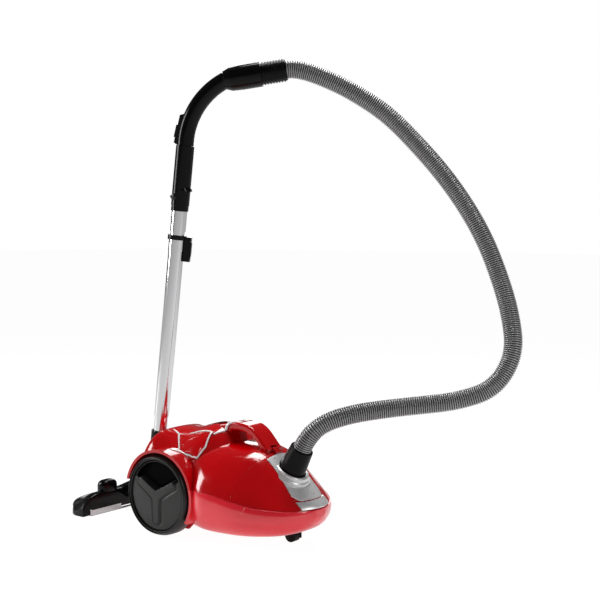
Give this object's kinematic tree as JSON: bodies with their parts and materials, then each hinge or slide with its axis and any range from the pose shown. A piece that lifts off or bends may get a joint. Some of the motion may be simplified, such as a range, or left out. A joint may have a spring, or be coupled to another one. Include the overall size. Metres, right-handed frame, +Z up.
{
  "type": "canister vacuum cleaner",
  "caption": "Red canister vacuum cleaner with its telescopic wand parked upright at the back, a corrugated hose looping from the grip to the inlet, large rear wheels and a floor nozzle.",
  "frame": {"origin": "on the floor at the middle of the footprint, under the rear wheels' axle", "axes": "+X towards the canister's nose, +Y to its left, +Z up"},
  "size_m": [0.9703, 0.4945, 1.037],
  "materials": {
    "red_shell": "deep glossy red",
    "red_band": "glossy red, a little lighter",
    "silver_trim": "satin silver lacquer",
    "bright_trim": "bright silver",
    "black_gloss": "gloss black",
    "black_satin": "satin black, lightly grained",
    "hub_grey": "satin charcoal",
    "tyre": "soft black rubber",
    "chrome_tube": "polished chromed steel",
    "steel": "plain steel",
    "hose_grey": "silver-grey corrugated plastic",
    "lens_dark": "dark tinted",
    "inner_plastic": "plain moulding",
    "filter_felt": "non-woven felt",
    "bag_paper": "paper dust bag",
    "bag_card": "pressed card",
    "motor_metal": "cast, as made",
    "mount_rubber": "soft rubber",
    "bristle": "nylon bristle"
  },
  "bodies": {
    "canister": {"lower_shell": "red_band", "rear_shell": "red_shell", "bumper_band": "red_band", "carry_handle": "red_shell", "lid_hinge_pin": "steel", "panel_trims": "bright_trim", "bag_full_indicator": "lens_dark", "exhaust_grille": "black_satin", "exhaust_filter": "filter_felt", "parking_bracket": "black_satin", "bulkhead": "inner_plastic", "motor_filter": "filter_felt", "dust_bag": "bag_paper", "motor_casing": "inner_plastic", "motor_mounts": "mount_rubber", "cord_outlet": "black_satin", "power_switch": "inner_plastic", "button_springs": "steel", "shell_screws": "steel", "wheel_axles": "steel", "outer_tube": "chrome_tube", "latch_collar": "black_gloss", "neck_socket": "black_satin", "hose_lower": "hose_grey"},
    "lid": {"lid": "red_shell", "inlet_cowl": "silver_trim", "inlet_socket": "black_satin", "bag_holder": "bag_card"},
    "lid_latch": {"lid_latch": "silver_trim"},
    "power_button": {"power_button": "red_shell"},
    "rewind_button": {"rewind_button": "red_shell"},
    "wheel_right": {"tyre_right": "tyre", "wheel_hub_right": "hub_grey", "hub_cap_right": "hub_grey"},
    "wheel_left": {"tyre_left": "tyre", "wheel_hub_left": "hub_grey", "hub_cap_left": "hub_grey"},
    "caster_fork": {"caster_fork": "black_satin"},
    "caster_wheel": {"caster_wheel": "black_satin"},
    "motor_rotor": {"motor_rotor": "motor_metal"},
    "cord_reel": {"cord_reel": "inner_plastic"},
    "grip": {"inner_tube": "chrome_tube", "handle_sleeve": "black_gloss", "grip_tube": "black_gloss", "handle_hood": "black_gloss", "accessory_clip": "black_gloss", "hose_upper": "hose_grey"},
    "tube_latch": {"tube_latch": "black_gloss"},
    "snap_pin": {"snap_pin": "steel"},
    "suction_slider": {"suction_slider": "black_gloss"},
    "hose_end_cuff": {"hose_end_cuff": "black_satin"},
    "inlet_cuff": {"inlet_cuff": "black_satin"},
    "neck_joint": {"neck_joint": "black_gloss"},
    "nozzle": {"nozzle_shell": "black_gloss", "nozzle_end_caps": "black_satin", "sole_plate": "steel", "lip_strips": "mount_rubber", "nozzle_pins": "steel"},
    "pedal": {"pedal": "black_gloss"},
    "brush_strips": {"brush_strips": "bristle"}
  },
  "joints": [
    {"name": "lid_hinge", "type": "hinge", "parent": "canister", "child": "lid", "pos_m": [0.208, 0, 0.192], "axis": [0, -1, 0], "range_deg": [0, 52], "deforming": ["hose_lower"]},
    {"name": "lid_latch_pull", "type": "hinge", "parent": "lid", "child": "lid_latch", "pos_m": [0.305, 0, 0.0992], "axis": [0, -1, 0], "range_deg": [0, 8], "stiffness_Nm_per_rad": 0.05},
    {"name": "power_button_press", "type": "slide", "parent": "canister", "child": "power_button", "axis": [0, 0, -1], "range_m": [0, 0.003], "stiffness_N_per_m": 900, "springref_m": -0.002, "deforming": ["button_springs"]},
    {"name": "rewind_button_press", "type": "slide", "parent": "canister", "child": "rewind_button", "axis": [0, 0, -1], "range_m": [0, 0.003], "stiffness_N_per_m": 900, "springref_m": -0.002, "deforming": ["button_springs"]},
    {"name": "wheel_right_spin", "type": "hinge", "parent": "canister", "child": "wheel_right", "pos_m": [0, -0.13, 0.088], "axis": [0, 1, 0], "continuous": true},
    {"name": "wheel_left_spin", "type": "hinge", "parent": "canister", "child": "wheel_left", "pos_m": [0, 0.13, 0.088], "axis": [0, 1, 0], "continuous": true},
    {"name": "caster_swivel", "type": "hinge", "parent": "canister", "child": "caster_fork", "pos_m": [0.27, 0, 0.03], "axis": [0, 0, 1], "continuous": true},
    {"name": "caster_wheel_spin", "type": "hinge", "parent": "caster_fork", "child": "caster_wheel", "pos_m": [0.259, 0, 0.014], "axis": [0, 1, 0], "continuous": true},
    {"name": "motor_spin", "type": "hinge", "parent": "canister", "child": "motor_rotor", "pos_m": [0.042, -0.03, 0.1], "axis": [1, 0, 0], "continuous": true},
    {"name": "cord_reel_spin", "type": "hinge", "parent": "canister", "child": "cord_reel", "pos_m": [-0.024, 0.055, 0.096], "axis": [0, 1, 0], "continuous": true},
    {"name": "telescope_slide", "type": "slide", "parent": "canister", "child": "grip", "axis": [0.1288, 0, 0.9917], "range_m": [0, 0.25], "deforming": ["hose_upper"]},
    {"name": "tube_latch_press", "type": "slide", "parent": "canister", "child": "tube_latch", "axis": [-0.1288, 0, -0.9917], "range_m": [0, 0.006], "stiffness_N_per_m": 600, "springref_m": -0.002},
    {"name": "snap_pin_press", "type": "slide", "parent": "grip", "child": "snap_pin", "axis": [0.8151, 0.5696, -0.1059], "range_m": [0, 0.003], "stiffness_N_per_m": 500, "springref_m": -0.001},
    {"name": "suction_slider_slide", "type": "slide", "parent": "grip", "child": "suction_slider", "axis": [0.1288, 0, 0.9917], "range_m": [0, 0.018]},
    {"name": "hose_end_swivel", "type": "hinge", "parent": "grip", "child": "hose_end_cuff", "pos_m": [0.08573, 0.07711, 1.00124], "axis": [0.8206, 0.5502, 0.1544], "continuous": true},
    {"name": "inlet_cuff_swivel", "type": "hinge", "parent": "lid", "child": "inlet_cuff", "pos_m": [0.254, 0, 0.147], "axis": [0.4848, 0, 0.8746], "continuous": true},
    {"name": "neck_swivel", "type": "hinge", "parent": "canister", "child": "neck_joint", "pos_m": [-0.20543, 0, 0.05837], "axis": [0.9124, 0, 0.4092], "range_deg": [-35, 35]},
    {"name": "nozzle_tilt", "type": "hinge", "parent": "neck_joint", "child": "nozzle", "pos_m": [-0.262, 0, 0.033], "axis": [0, 1, 0], "range_deg": [-35, 0]},
    {"name": "pedal_rock", "type": "hinge", "parent": "nozzle", "child": "pedal", "pos_m": [-0.255, 0, 0.046], "axis": [0, 1, 0], "range_deg": [0, 12]},
    {"name": "brush_drop", "type": "slide", "parent": "nozzle", "child": "brush_strips", "axis": [0, 0, -1], "range_m": [0, 0.0035]}
  ],
  "couplings": [
    {"joint": "brush_drop", "follows": "pedal_rock", "m_per_rad": 0.01638}
  ]
}
